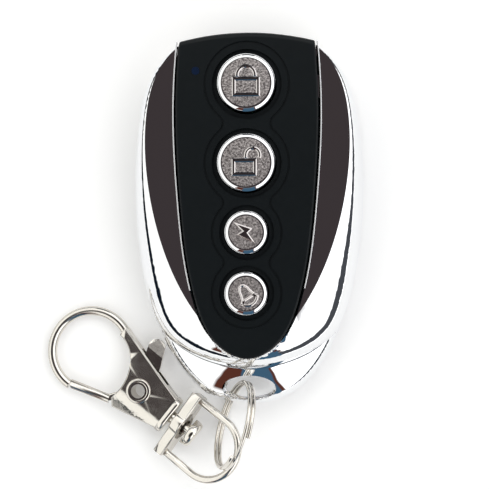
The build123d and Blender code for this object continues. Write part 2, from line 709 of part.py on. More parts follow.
# Loop antenna: one bent wire that stands on the board round the lug end
with BuildPart() as loop_antenna:
    with BuildLine() as antenna_path:
        FilletPolyline(
            (ANTENNA_X, ANTENNA_Y, BOARD_TOP),
            (ANTENNA_X, ANTENNA_Y, BOARD_TOP + ANTENNA_RISE),
            (ANTENNA_X - ANTENNA_DRAW, ANTENNA_END, BOARD_TOP + ANTENNA_RISE),
            (ANTENNA_DRAW - ANTENNA_X, ANTENNA_END, BOARD_TOP + ANTENNA_RISE),
            (-ANTENNA_X, ANTENNA_Y, BOARD_TOP + ANTENNA_RISE),
            (-ANTENNA_X, ANTENNA_Y, BOARD_TOP),
            radius=ANTENNA_BEND,
        )
    with BuildSketch(Plane((ANTENNA_X, ANTENNA_Y, BOARD_TOP))):
        Circle(ANTENNA_D / 2)
    sweep(path=antenna_path.wires()[0])
loop_antenna.part.label = "loop_antenna"
export_step(loop_antenna.part, "parts/loop_antenna.step")

# Back cover: plate, lip, posts for the board, cradles for the cell, counterbored screw holes
with BuildPart() as back_cover:
    with BuildSketch():
        with BuildLine():
            closed_outline(drawn_in(blend(0.0), UNDERCUT + COVER_GAP))
        make_face()
    extrude(amount=COVER_PLATE)
    chamfer(back_cover.edges().group_by(Axis.Z)[0], length=COVER_ROUND / 2, length2=COVER_ROUND)
    with BuildSketch(Plane.XY.offset(COVER_PLATE)):
        with BuildLine():
            closed_outline(drawn_in(blend(0.0), FRAME_WALL + COVER_GAP))
        make_face()
        with BuildLine():
            closed_outline(drawn_in(blend(0.0), FRAME_WALL + COVER_GAP + COVER_LIP_WALL))
        make_face(mode=Mode.SUBTRACT)
        with Locations(*BOSSES):
            Circle(BOSS_D / 2 + COVER_GAP, mode=Mode.SUBTRACT)
        with Locations((0, TONGUE_END_Y - END_WALL - COVER_GAP + PAST_END / 2)):
            Rectangle(2 * (TONGUE_END_X + COVER_GAP), PAST_END, mode=Mode.SUBTRACT)
    extrude(amount=COVER_LIP)
    with BuildSketch(Plane.XY.offset(COVER_FLOOR)):
        with BuildLine():
            closed_outline(drawn_in(blend(0.0), FRAME_WALL + COVER_GAP + COVER_LIP_WALL))
        make_face()
        with Locations(*BOSSES):
            Circle(BOSS_D / 2 + COVER_LIP_WALL, mode=Mode.SUBTRACT)
        with Locations((0, TONGUE_END_Y - END_WALL - COVER_GAP + PAST_END / 2)):
            Rectangle(2 * FLANK_HALF, PAST_END, mode=Mode.SUBTRACT)
    extrude(amount=COVER_PLATE - COVER_FLOOR, mode=Mode.SUBTRACT)
    with BuildSketch(Plane.XY.offset(COVER_FLOOR)):
        with Locations(*POSTS):
            Circle(POST_D / 2)
    extrude(amount=BOARD_LEVEL - COVER_FLOOR)
    for row in (CELL_MIDDLE - CRADLE_SPREAD / 2, CELL_MIDDLE + CRADLE_SPREAD / 2):
        with BuildSketch(Plane.XZ.offset(-row - CRADLE_THICK / 2)):
            with Locations((CELL_X, COVER_FLOOR)):
                Rectangle(CELL_D, CRADLE_RISE, align=(Align.CENTER, Align.MIN))
            with Locations((CELL_X, CELL_Z)):
                Circle(CELL_D / 2 + COVER_GAP, mode=Mode.SUBTRACT)
        extrude(amount=CRADLE_THICK)
    for x, y in BOSSES:
        with Locations(Plane((x, y, 0), x_dir=(1, 0, 0), z_dir=(0, 0, -1))):
            CounterBoreHole(
                radius=SCREW_D / 2 + COVER_GAP,
                counter_bore_radius=SCREW_HEAD_D / 2 + COVER_GAP,
                counter_bore_depth=SCREW_SUNK + SCREW_HEAD,
                depth=COVER_PLATE,
            )
back_cover.part.label = "back_cover"
export_step(back_cover.part, "parts/back_cover.step")

# Three alike screws with cross recesses, up through the cover into the frame's bosses
with BuildPart(Plane.XY.offset(SCREW_SUNK)) as cover_screws:
    with Locations(*BOSSES):
        Cylinder(SCREW_HEAD_D / 2, SCREW_HEAD, align=(Align.CENTER, Align.CENTER, Align.MIN))
        Cylinder(SCREW_D / 2, SCREW_LENGTH, align=(Align.CENTER, Align.CENTER, Align.MIN))
    chamfer(cover_screws.edges().group_by(Axis.Z)[0], length=SCREW_HEAD / 4)
    with Locations(*BOSSES):
        for long, wide in ((SCREW_CROSS, SCREW_CROSS_WIDE), (SCREW_CROSS_WIDE, SCREW_CROSS)):
            Box(long, wide, SCREW_CROSS_DEEP, align=(Align.CENTER, Align.CENTER, Align.MIN),
                mode=Mode.SUBTRACT)
cover_screws.part.label = "cover_screws"
export_step(cover_screws.part, "parts/cover_screws.step")


def placed(name, builder, place):
    """Export a piece moved from its own frame to its place."""
    piece = place * builder.part
    piece.label = name
    export_step(piece, f"parts/{name}.step")


# Split ring: two flat coils that a short crossover joins into one, through the lug hole.
# It is modelled flat, X upwards and Z along its axis, and moved to this place.
RING_AT = Plane(
    origin=RING_CENTRE, x_dir=RING_ACROSS, z_dir=Vector(RING_ALONG).cross(Vector(RING_ACROSS))
).location


def coil(height, first, last):
    """One flat coil as a part ring between two angles, at a height along the ring's axis."""
    with BuildPart() as turn:
        with BuildSketch(Plane.XY.offset(height - RING_THICK / 2)):
            Circle(RING_RADIUS + RING_WIDE / 2)
            Circle(RING_RADIUS - RING_WIDE / 2, mode=Mode.SUBTRACT)
            with BuildLine():
                reach = 2 * RING_RADIUS
                start = (reach * cos(radians(first)), reach * sin(radians(first)))
                end = (reach * cos(radians(last)), reach * sin(radians(last)))
                Polyline((0, 0), start, end, close=True)
            make_face(mode=Mode.SUBTRACT)
        extrude(amount=RING_THICK)
    return turn.part


def ring_section(share):
    """Plane square to the crossover, a share of the way along it."""
    angle = radians(RING_CROSSOVER * share)
    height = RING_LAYER * (2 * (3 * share**2 - 2 * share**3) - 1)
    outwards = Vector(cos(angle), sin(angle), 0)
    onwards = Vector(-sin(angle), cos(angle), 0)
    return Plane(origin=outwards * RING_RADIUS + Vector(0, 0, height), x_dir=outwards, z_dir=onwards)


COILS = [coil(height, 0.0, RING_CROSSOVER) for height in (-RING_LAYER, RING_LAYER)]
with BuildPart() as split_ring:
    for step in range(RING_STEPS + 1):
        with BuildSketch(ring_section(step / RING_STEPS)):
            Rectangle(RING_WIDE, RING_THICK)
    loft()
    add(COILS)
placed("split_ring", split_ring, RING_AT)

# The clasp's pieces are modelled flat: X along the swivel axis towards the loop, Y across, origin
# on the gate's eyelet, and moved to this place
CLASP_AT = Location(CLASP_PLACE, (CLASP_TURN, -CLASP_TILT, 0), Intrinsic.ZYX)


def around(centre, radius, angle):
    """Plan point on a circle at an angle in degrees."""
    return (centre[0] + radius * cos(radians(angle)), centre[1] + radius * sin(radians(angle)))


with BuildPart() as clasp_body:
    with BuildSketch(Plane.XY.offset(-PLATE_THICK / 2)):
        with BuildLine():
            Polyline(*PLATE_OUTSIDE)
            waist = ThreePointArc(PLATE_OUTSIDE[-1], *PLATE_WAIST)
            TangentArc(waist @ 1, PLATE_OUTSIDE[0], tangent=waist % 1)
        make_face()
    extrude(amount=PLATE_THICK)
    with BuildSketch(Plane.XY.offset(-SLOT_TALL / 2)):
        with BuildLine():
            Polyline(*SLOT, close=True)
        make_face()
    extrude(amount=SLOT_TALL, mode=Mode.SUBTRACT)
    flats = clasp_body.faces().sort_by(Axis.Z)
    chamfer(flats[0].edges() + flats[-1].edges(), length=PLATE_BEVEL)
    with BuildLine() as hook_path:
        ThreePointArc(
            around(HOOK_CENTRE, HOOK_RADIUS, HOOK_TIP),
            around(HOOK_CENTRE, HOOK_RADIUS, 180),
            around(HOOK_CENTRE, HOOK_RADIUS, HOOK_ROOT),
        )
    with BuildSketch(Plane(origin=hook_path.line @ 0, z_dir=hook_path.line % 0)):
        Circle(HOOK_D / 2)
    sweep(path=hook_path.line)
    with BuildSketch(Plane.XY.offset(-PLATE_THICK)):
        Circle(GATE_REACH + TIP_GAP)
        with BuildLine():
            tip = around(HOOK_CENTRE, HOOK_RADIUS, HOOK_TIP)
            Polyline(tip, (tip[0] - HOOK_D, 0), (tip[0] + HOOK_D, 0), (tip[0] + HOOK_D, 2 * tip[1]),
                     (tip[0], 2 * tip[1]), close=True)
        make_face(mode=Mode.INTERSECT)
    extrude(amount=2 * PLATE_THICK, mode=Mode.SUBTRACT)
    with BuildSketch(Plane.YZ.offset(COLLAR_START)):
        RectangleRounded(COLLAR_LONG, COLLAR_TALL, COLLAR_TALL / 3)
    extrude(amount=COLLAR_END - COLLAR_START)
    collar_faces = clasp_body.faces().sort_by(Axis.X)
    fillet(collar_faces[-1].edges(), radius=COLLAR_ROUND)
    with BuildSketch(Plane.YZ.offset(POST_FOOT)):
        Circle(POST_STEM_D / 2 + EYELET_GAP)
    extrude(amount=COLLAR_END - POST_FOOT, mode=Mode.SUBTRACT)
    with BuildSketch(Plane.XY.offset(-PLATE_THICK)):
        Circle(EYELET_D / 2 + EYELET_GAP)
    extrude(amount=2 * PLATE_THICK, mode=Mode.SUBTRACT)
placed("clasp_body", clasp_body, CLASP_AT)

# Gate: flat lever in the slot, round rod that closes the hook, thumb trigger on the far side
with BuildPart() as gate_lever:
    with BuildSketch(Plane.XY.offset(-GATE_THICK / 2)):
        Circle(GATE_DISC_D / 2)
        with BuildLine():
            Polyline(*GATE_ARM, close=True)
        make_face()
    extrude(amount=GATE_THICK)
    with BuildSketch(Plane.XY.offset(-GATE_THICK / 2)) as trigger:
        with BuildLine():
            Polyline(*TRIGGER, close=True)
        make_face()
        fillet(trigger.vertices().sort_by(Axis.Y)[-2:], radius=TRIGGER_ROUND)
    extrude(amount=GATE_THICK)
    with BuildSketch(Plane.YZ.offset(-GATE_REACH)):
        with BuildLine():
            Polyline(*TRIGGER_TAPER, close=True)
        make_face()
    extrude(amount=2 * GATE_REACH, mode=Mode.SUBTRACT)
    with BuildLine() as rod_path:
        Line(*GATE_ROD)
    with BuildSketch(Plane(origin=rod_path.line @ 0, z_dir=rod_path.line % 0)):
        Circle(GATE_ROD_D / 2)
    sweep(path=rod_path.line)
    with BuildSketch(Plane.XY.offset(-GATE_ROD_D)):
        Circle(GATE_REACH)
    extrude(amount=2 * GATE_ROD_D, mode=Mode.INTERSECT)
    with BuildSketch(Plane.XY.offset(-GATE_ROD_D)):
        Circle(EYELET_D / 2 + GATE_PIVOT_GAP)
    extrude(amount=2 * GATE_ROD_D, mode=Mode.SUBTRACT)
placed("gate_lever", gate_lever, CLASP_AT)

# Hollow eyelet, rolled over both flats of the plate
with BuildPart() as pivot_rivet:
    Cylinder(EYELET_D / 2, PLATE_THICK)
    for side in (1, -1):
        with Locations((0, 0, side * (PLATE_THICK + EYELET_RIM) / 2)):
            Cylinder(EYELET_RIM_D / 2, EYELET_RIM)
    fillet(pivot_rivet.edges().filter_by(GeomType.CIRCLE).filter_by(
        lambda edge: abs(edge.center().Z) > PLATE_THICK / 2 + EYELET_RIM / 2
    ), radius=EYELET_ROUND)
    Cylinder(EYELET_BORE_D / 2, 2 * PLATE_THICK, mode=Mode.SUBTRACT)
placed("pivot_rivet", pivot_rivet, CLASP_AT)

# Headed post
with BuildPart(Plane.YZ) as swivel_post:
    with Locations((0, 0, POST_FOOT)):
        Cylinder(
            POST_STEM_D / 2,
            POST_HEAD_START - POST_FOOT,
            align=(Align.CENTER, Align.CENTER, Align.MIN),
        )
    with Locations((0, 0, POST_HEAD_START)):
        Cylinder(POST_HEAD_D / 2, POST_HEAD, align=(Align.CENTER, Align.CENTER, Align.MIN))
    fillet(swivel_post.edges().sort_by(Axis.X)[-1], radius=POST_DOME)
placed("swivel_post", swivel_post, CLASP_AT)

# Swivel loop: strap with the post's hole, and a D-shaped wire
LOOP_CENTRE = (CLASP_AT * Location((LOOP_PLACE, 0, 0))).position
LOOP_AT = Location(LOOP_CENTRE, (CLASP_TURN + LOOP_TURN, -LOOP_TILT, 0), Intrinsic.ZYX)
with BuildPart() as swivel_loop:
    with BuildSketch(Plane.YZ.offset(-STRAP_THICK / 2)):
        Rectangle(STRAP_LONG, STRAP_WIDE)
        Circle(STRAP_EYE_D / 2)
    extrude(amount=STRAP_THICK)
    flats = swivel_loop.faces().sort_by(Axis.X)
    fillet(flats[0].edges() + flats[-1].edges(), radius=STRAP_ROUND)
    with BuildLine() as loop_path:
        Line((0, -LOOP_HALF), (LOOP_LEG, -LOOP_HALF))
        ThreePointArc((LOOP_LEG, -LOOP_HALF), (LOOP_LEG + LOOP_HALF, 0), (LOOP_LEG, LOOP_HALF))
        Line((LOOP_LEG, LOOP_HALF), (0, LOOP_HALF))
    with BuildSketch(Plane.YZ):
        with Locations((-LOOP_HALF, 0)):
            Circle(LOOP_D / 2)
    sweep(path=loop_path.wires()[0])
    with BuildSketch(Plane.YZ.offset(-STRAP_THICK)):
        Circle(STRAP_HOLE_D / 2)
    extrude(amount=2 * STRAP_THICK, mode=Mode.SUBTRACT)
placed("swivel_loop", swivel_loop, LOOP_AT)

# Return spring: open ring of fine wire round the eyelet, in the slot above the gate
with BuildPart() as gate_spring:
    spring_plane = Plane.XY.offset(GATE_THICK / 2 + GATE_SPRING_D / 2)
    with BuildLine(spring_plane) as spring_path:
        ThreePointArc(*[around((0, 0), GATE_SPRING_RADIUS, angle) for angle in GATE_SPRING_ANGLES])
    with BuildSketch(Plane(origin=spring_path.line @ 0, z_dir=spring_path.line % 0)):
        Circle(GATE_SPRING_D / 2 - GATE_SPRING_GAP)
    sweep(path=spring_path.line)
placed("gate_spring", gate_spring, CLASP_AT)
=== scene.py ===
"""Looks of the gate remote: plated frame, black panel, relief buttons, key ring and lobster clasp.

Everything is in metres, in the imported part's frame: +Z out of the button face, +Y towards the
plain end, -Y towards the key-ring lug.
"""

import json
from math import cos, pi, radians, sin

import bpy
from bpy.props import FloatProperty, FloatVectorProperty, PointerProperty
from mathutils import Matrix, Vector


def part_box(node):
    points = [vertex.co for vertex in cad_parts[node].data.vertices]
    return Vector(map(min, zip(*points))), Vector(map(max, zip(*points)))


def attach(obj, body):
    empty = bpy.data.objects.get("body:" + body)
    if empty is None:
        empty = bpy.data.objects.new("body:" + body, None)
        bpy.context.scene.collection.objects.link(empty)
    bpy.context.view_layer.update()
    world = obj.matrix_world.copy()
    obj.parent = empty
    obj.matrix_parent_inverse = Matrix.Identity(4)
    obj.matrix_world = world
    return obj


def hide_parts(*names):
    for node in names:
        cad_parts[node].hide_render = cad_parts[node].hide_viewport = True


bl_info = {
    "name": "Gate remote looks",
    "version": (1, 0, 0),
    "blender": (4, 5, 0),
    "location": "3D View > Sidebar > Gate remote",
    "description": "Builds the visible pieces, materials and studio of a gate remote",
    "category": "Object",
}

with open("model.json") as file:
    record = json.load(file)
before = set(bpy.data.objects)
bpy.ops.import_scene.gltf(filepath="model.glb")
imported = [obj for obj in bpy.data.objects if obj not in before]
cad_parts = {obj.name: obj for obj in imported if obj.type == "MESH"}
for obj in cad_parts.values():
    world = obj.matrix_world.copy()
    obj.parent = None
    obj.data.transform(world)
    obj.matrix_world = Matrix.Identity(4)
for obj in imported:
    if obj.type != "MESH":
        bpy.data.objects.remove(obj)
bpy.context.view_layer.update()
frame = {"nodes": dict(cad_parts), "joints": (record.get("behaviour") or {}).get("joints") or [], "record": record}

MM = 0.001

# Joining and smoothing of CAD meshes: vertices this near are one, and a face this level is flat
SAME_PLACE = 0.0005 * MM
SLIVER = 0.01 * MM
FLAT_WITHIN = 0.002 * MM
SMOOTH_ANGLE = radians(28)
WIRE_ANGLE = radians(50)
CAP_ANGLE = radians(20)

# Rounded edge beside the black panel: radius, distance from the panel's side wall, level and lower
# end, then the levels that the side wall is picked between and the start of the panel's plain end
SEAT_LINE = 0.13 * MM
SEAT_REACH = 0.42 * MM
SEAT_LEVEL = 11.36 * MM
FACET_TIP = -12.4 * MM
PANEL_WALL = (9.95 * MM, 11.5 * MM)
PANEL_END = 28.6 * MM

# Dome in the reflections of the lug's top: its level, start, middle, and curve across and along
LUG_TOP = 5.65 * MM
LUG_START = -19.0 * MM
LUG_DOME_Y = -20.0 * MM
LUG_DOME = (22.0, 32.0)

# Clasp's plate: the gate's pivot in it, and how its outer side rolls down in the reflections
GATE_PIVOT = next(joint for joint in frame["joints"] if joint["name"] == "gate_open")
PLATE_MIDDLE = Vector(GATE_PIVOT["pos_m"])
PLATE_UP = -Vector(GATE_PIVOT["axis"])
PLATE_LEVEL = 3.05 * MM
PLATE_AWAY = (-0.62, -0.78)
PLATE_FLAT = 1.4 * MM
PLATE_RIPPLE = 0.25 * MM
PLATE_ROLL = 120.0

# Rolled rims of the eyelet on both sides of the clasp's plate
EYELET_RADIUS = 1.7 * MM
EYELET_WIRE = 0.46 * MM
EYELET_SQUASH = 0.75
EYELET_LEVEL = 1.38 * MM

# Swivel: the strap's place, direction and half thickness, and how much deeper it stands on each side
STRAP_PLACE = Vector((-12.044, -34.909, 2.788)) * MM
STRAP_AXIS = Vector((0.7792, -0.5355, 0.3256))
STRAP_HALF = 0.55 * MM
STRAP_DEEPER = {1: 0.5 * MM, -1: 0.35 * MM}

# Split ring: middle, direction to its far end and across it, mean radius, pitch, radius of the wire,
# points in a turn and points that its two turns fall short
RING_CENTRE = Vector((-2.4, -34.1, 7.5)) * MM
RING_ALONG = Vector((-0.297, -0.955, 0.0))
RING_ACROSS = Vector((0.3, -0.0933, 0.949))
RING_RADIUS = 7.2 * MM
RING_PITCH = 0.68 * MM
RING_WIRE = 0.36 * MM
RING_TURN = 80
RING_SHORT = 6

# Buttons: diameters, the levels of the caps' faces and feet, and how finely their rims are turned
BUTTONS = {
    "lock": 9.3 * MM,
    "unlock": 9.3 * MM,
    "flash": 6.9 * MM,
    "bell": 6.9 * MM,
}
BUTTON_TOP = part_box("lock_button")[1][2]
BUTTON_FOOT = 9.2 * MM
RIM_SIDES = 96
RIM_STEPS = 8

# Cell: how far along Y its printed sleeve reaches
CELL_SLEEVE = (-7.6 * MM, 16.9 * MM)

# Studio: upward part of the direction where the softboxes end and where the dark horizon under them
# ends, how uneven their edges are, the share of light at the left, and where the colour cards stand
BOX_TOP = 0.915
HORIZON_TOP = 0.3
WOBBLE = 0.16
DIMMER = 0.72
CARD_FOOT = 0.3
BROWN_CARD = (-0.5, 0.36)
BLUE_CARD = (-0.24, 0.3)

# Floor: size in metres, and light added where it is seen so that shadows stay faint
FLOOR_SIZE = 6.0
FLOOR_LIFT = 0.2


class ReliefSettings(bpy.types.PropertyGroup):
    """Relief of the symbols on the buttons."""

    band: FloatProperty(
        name="Band", description="Width of the raised band of a symbol",
        default=0.62 * MM, unit="LENGTH",
    )
    height: FloatProperty(
        name="Height", description="Height of the relief above the button's face",
        default=0.11 * MM, unit="LENGTH",
    )
    slope: FloatProperty(
        name="Slope", description="Width of the bright sloping edge round the relief",
        default=0.17 * MM, unit="LENGTH",
    )


class ButtonSettings(bpy.types.PropertyGroup):
    """Shape of the plated button caps."""

    rim_width: FloatProperty(
        name="Rim width", description="How far the polished rim reaches inwards",
        default=0.78 * MM, unit="LENGTH",
    )
    rim_angle: FloatProperty(
        name="Rim angle", description="Slope of the rim at its outer edge",
        default=radians(48), subtype="ANGLE",
    )


class StudioSettings(bpy.types.PropertyGroup):
    """Camera and light of the product photograph."""

    camera_place: FloatVectorProperty(
        name="Camera place", description="Where the camera stands",
        default=(10.5 * MM, -5.4 * MM, 160 * MM), subtype="XYZ", unit="LENGTH",
    )
    aim: FloatVectorProperty(
        name="Aim", description="Point on the floor that the camera looks at",
        default=(2.3 * MM, -4.15 * MM, 0.0), subtype="XYZ", unit="LENGTH",
    )
    shift: FloatProperty(
        name="Shift", description="Sideways shift of the lens, as a share of the picture's width",
        default=-0.041,
    )
    lens: FloatProperty(name="Lens", description="Focal length in millimetres", default=67.8)
    softbox: FloatProperty(name="Softbox", description="Brightness of the white softboxes", default=1.8)


class Value:
    """A shader socket that takes part in Python sums."""

    def __init__(self, look, socket):
        self.look = look
        self.socket = socket

    def math(self, operation, *others):
        """One sum of Blender's Math node."""
        return self.look.node("ShaderNodeMath", {"operation": operation}, self, *others)

    def __add__(self, other):
        return self.math("ADD", other)

    def __mul__(self, other):
        return self.math("MULTIPLY", other)

    def __sub__(self, other):
        return self.math("SUBTRACT", other)

    def __truediv__(self, other):
        return self.math("DIVIDE", other)

    def __rsub__(self, other):
        return self.look.node("ShaderNodeMath", {"operation": "SUBTRACT"}, other, self)

    __radd__ = __add__
    __rmul__ = __mul__

    def clamp(self):
        """The same kept between 0 and 1."""
        return self.look.node("ShaderNodeClamp", {}, self)

    def above(self, level, soft):
        """0 below a level, 1 above it, with a soft edge."""
        return ((self - level) / soft).clamp()


class Look:
    """A node tree under construction."""

    def __init__(self, tree, clear=True):
        self.tree = tree
        if clear:
            self.tree.nodes.clear()

    def node(self, kind, settings, *inputs, out=0, **named):
        """Add one node, set it, join its inputs and return one of its outputs."""
        node = self.tree.nodes.new(kind)
        for name, value in settings.items():
            setattr(node, name, value)
        for key, value in list(enumerate(inputs)) + list(named.items()):
            if value is None:
                continue
            socket = node.inputs[key if isinstance(key, int) else key.replace("_", " ")]
            if isinstance(value, Value):
                self.tree.links.new(value.socket, socket)
            else:
                socket.default_value = value
        return Value(self, node.outputs[out]) if node.outputs else None

    def place(self):
        """Place on the object, in metres."""
        return self.node("ShaderNodeTexCoord", {}, out="Object")

    def noise(self, scale, detail=3.0, roughness=0.55):
        """Noise with a mean of one half."""
        return self.node("ShaderNodeTexNoise", {}, Vector=self.place(), Scale=scale, Detail=detail,
                         Roughness=roughness)

    def mix(self, share, first, second):
        """Colour between two colours."""
        return self.node("ShaderNodeMix", {"data_type": "RGBA"}, share, None, None, None, None, None,
                         first, second, out=2)

    def parts(self, vector):
        """X, Y and Z of a vector."""
        node = self.tree.nodes.new("ShaderNodeSeparateXYZ")
        self.tree.links.new(vector.socket, node.inputs[0])
        return [Value(self, socket) for socket in node.outputs]


def material(name, colour, rough, metallic=0.0, bump=None, **sockets):
    """Material from a colour, a roughness and an optional bump height, each a number or a Value."""
    made = bpy.data.materials.new(name)
    made.use_nodes = True
    look = Look(made.node_tree)
    if callable(colour):
        colour = colour(look)
    if callable(rough):
        rough = rough(look)
    shader = look.node("ShaderNodeBsdfPrincipled", {}, Base_Color=colour, Roughness=rough,
                       Metallic=metallic, **sockets)
    if bump:
        height, distance, strength = bump
        normal = look.node("ShaderNodeBump", {}, Height=height(look), Distance=distance,
                           Strength=strength)
        look.tree.links.new(normal.socket, shader.socket.node.inputs["Normal"])
    look.node("ShaderNodeOutputMaterial", {}, Surface=shader)
    return made


def rgb(red, green, blue):
    """Opaque colour."""
    return (red, green, blue, 1.0)


def tinted(first, second, scale):
    """Colour that wanders softly between two colours."""
    return lambda look: look.mix(look.noise(scale), first, second)


def speckled(first, second, scale):
    """Colour that jumps between two colours in fine grains."""
    return lambda look: look.mix(look.noise(scale, 5.0, 0.7).above(0.4, 0.2), first, second)


def wandering(low, high, scale):
    """Roughness that wanders between two values."""
    return lambda look: low + (high - low) * look.noise(scale, detail=6.0)


def scratched(low, high):
    """Roughness of polished plate with faint wipe marks along one direction."""
    def build(look):
        long = look.node("ShaderNodeMapping", {}, Vector=look.place(), Scale=(900.0, 60.0, 300.0))
        marks = look.node("ShaderNodeTexNoise", {}, Vector=long, Scale=1.0, Detail=4.0)
        return low + (high - low) * marks.above(0.55, 0.3)
    return build


def board_colour(look):
    """Green mask with lighter tracks in steps of the board's grid."""
    across, along, up = look.parts(look.place())
    wave = (across * 2300.0 + look.noise(90.0) * 9.0).math("SINE")
    tracks = wave.above(0.55, 0.15) * look.noise(260.0).above(0.5, 0.05)
    return look.mix(tracks, rgb(0.012, 0.12, 0.05), rgb(0.05, 0.27, 0.12))


def cell_colour(look):
    """Grey sleeve with a bare silver band at each end."""
    across, along, up = look.parts(look.place())
    sleeve = (along - CELL_SLEEVE[0]).above(0.0, 0.1 * MM) * (CELL_SLEEVE[1] - along).above(0.0, 0.1 * MM)
    return look.mix(sleeve, rgb(0.62, 0.62, 0.6), rgb(0.05, 0.06, 0.075))


def lug_dome(look):
    """Height of a shallow dome over the lug, whose middle line is at the frame's tip."""
    across, along, up = look.parts(look.place())
    lug = (LUG_TOP - up).above(0.0, 0.05 * MM) * (LUG_START - along).above(0.0, 0.05 * MM)
    back = along - LUG_DOME_Y
    dome = 0.0 - across * across * LUG_DOME[0] - back * back * LUG_DOME[1]
    return dome * lug + look.noise(35.0, 1.0) * 0.0000015


def plate_swell(look):
    """Height that rolls the clasp's plate down towards its outer edge, with fine casting ripple."""
    across, along, up = look.parts(look.place())
    outwards = (across - PLATE_MIDDLE.x) * PLATE_AWAY[0] + (along - PLATE_MIDDLE.y) * PLATE_AWAY[1]
    past = (outwards - PLATE_FLAT + (look.noise(900.0) - 0.5) * PLATE_RIPPLE).math("MAXIMUM", 0.0)
    flat = (up - PLATE_LEVEL).above(0.0, 0.05 * MM)
    return 0.0 - past * past * PLATE_ROLL * flat + look.noise(700.0) * 0.000003


def build_materials():
    """All materials, by the name of the slot that they stand for."""
    return {
        "chrome": material(
            "chrome", tinted(rgb(0.82, 0.83, 0.85), rgb(0.86, 0.865, 0.875), 60.0),
            scratched(0.02, 0.05), 1.0, bump=(lug_dome, 1.0, 1.0),
        ),
        "nickel": material(
            "nickel", tinted(rgb(0.66, 0.63, 0.58), rgb(0.74, 0.71, 0.66), 120.0),
            wandering(0.07, 0.2, 900.0), 1.0,
            bump=(lambda look: look.noise(700.0), 0.00003, 0.2),
        ),
        "plate": material(
            "plate", tinted(rgb(0.66, 0.63, 0.58), rgb(0.76, 0.73, 0.68), 120.0),
            wandering(0.1, 0.24, 900.0), 1.0, bump=(plate_swell, 1.0, 1.0),
        ),
        "blasted": material(
            "blasted", speckled(rgb(0.14, 0.125, 0.125), rgb(0.7, 0.65, 0.64), 3200.0),
            wandering(0.26, 0.44, 2200.0), 1.0,
            bump=(lambda look: look.noise(3000.0, 4.0), 0.00012, 0.8),
        ),
        "relief": material(
            "relief", tinted(rgb(0.5, 0.47, 0.46), rgb(0.62, 0.59, 0.58), 1400.0),
            wandering(0.08, 0.16, 1600.0), 1.0,
            bump=(lambda look: look.noise(2600.0), 0.00003, 0.25),
        ),
        "black_plastic": material(
            "black_plastic", tinted(rgb(0.0018, 0.0036, 0.0046), rgb(0.003, 0.0054, 0.0068), 300.0),
            wandering(0.36, 0.48, 1500.0), Specular_IOR_Level=0.2,
            bump=(lambda look: look.noise(5200.0, 2.0), 0.00002, 0.35),
        ),
        "blue_window": material(
            "blue_window", tinted(rgb(0.003, 0.009, 0.026), rgb(0.006, 0.016, 0.045), 900.0),
            wandering(0.08, 0.16, 900.0), Coat_Weight=0.5,
        ),
        "steel": material(
            "steel", tinted(rgb(0.52, 0.52, 0.5), rgb(0.62, 0.62, 0.6), 500.0),
            wandering(0.22, 0.38, 1400.0), 1.0,
            bump=(lambda look: look.noise(1800.0), 0.00003, 0.2),
        ),
        "board": material("board", board_colour, wandering(0.3, 0.42, 400.0), Coat_Weight=0.3),
        "switch_plastic": material(
            "switch_plastic", tinted(rgb(0.02, 0.02, 0.022), rgb(0.035, 0.035, 0.037), 700.0),
            wandering(0.4, 0.55, 900.0),
        ),
        "plunger_plastic": material(
            "plunger_plastic", tinted(rgb(0.09, 0.045, 0.02), rgb(0.13, 0.07, 0.035), 700.0),
            wandering(0.35, 0.5, 900.0),
        ),
        "cell_jacket": material("cell_jacket", cell_colour, wandering(0.22, 0.34, 500.0)),
        "lamp": material(
            "lamp", tinted(rgb(0.7, 0.72, 0.66), rgb(0.82, 0.84, 0.78), 800.0),
            wandering(0.12, 0.24, 900.0),
        ),
        "chip_plastic": material(
            "chip_plastic", tinted(rgb(0.012, 0.012, 0.013), rgb(0.024, 0.024, 0.025), 2200.0),
            wandering(0.42, 0.6, 1200.0),
        ),
        "copper": material(
            "copper", tinted(rgb(0.62, 0.3, 0.17), rgb(0.72, 0.4, 0.24), 600.0),
            wandering(0.18, 0.34, 900.0), 1.0,
        ),
    }


MATERIALS = {}
SLOTS = {part["node"]: part["material_slot"] for part in frame["record"]["subparts"]}
BODIES = {
    node: body for body, nodes in frame["record"]["behaviour"]["bodies"].items() for node in nodes
}


def dress(*nodes):
    """Give CAD nodes the materials of their slots."""
    for name in nodes:
        for slot in frame["nodes"][name].material_slots:
            slot.material = MATERIALS[SLOTS[name]]


def only(obj):
    """Select one object alone and make it active."""
    bpy.ops.object.select_all(action="DESELECT")
    obj.select_set(True)
    bpy.context.view_layer.objects.active = obj


def middle(node):
    """Middle of a CAD node's box."""
    low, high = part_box(node)
    return (Vector(low) + Vector(high)) / 2


def joined_copy(node, within=SAME_PLACE):
    """Copy of a CAD node whose triangles are joined, as the active object."""
    only(frame["nodes"][node])
    bpy.ops.object.duplicate()
    copy = bpy.context.active_object
    bpy.ops.object.mode_set(mode="EDIT")
    bpy.ops.mesh.select_all(action="SELECT")
    bpy.ops.mesh.remove_doubles(threshold=within)
    bpy.ops.object.mode_set(mode="OBJECT")
    return copy


def pick(obj, kind, wanted):
    """Select only the wanted faces or vertices of an object."""
    only(obj)
    bpy.ops.object.mode_set(mode="EDIT")
    bpy.ops.mesh.select_mode(type=kind)
    bpy.ops.mesh.select_all(action="DESELECT")
    bpy.ops.object.mode_set(mode="OBJECT")
    for part in obj.data.polygons if kind == "FACE" else obj.data.vertices:
        part.select = bool(wanted(part))


def split_off(obj):
    """Part the selected faces off as an object of their own and drop the rest."""
    bpy.ops.object.mode_set(mode="EDIT")
    bpy.ops.mesh.separate(type="SELECTED")
    bpy.ops.object.mode_set(mode="OBJECT")
    part = next(other for other in bpy.context.selected_objects if other != obj)
    bpy.data.objects.remove(obj)
    return part


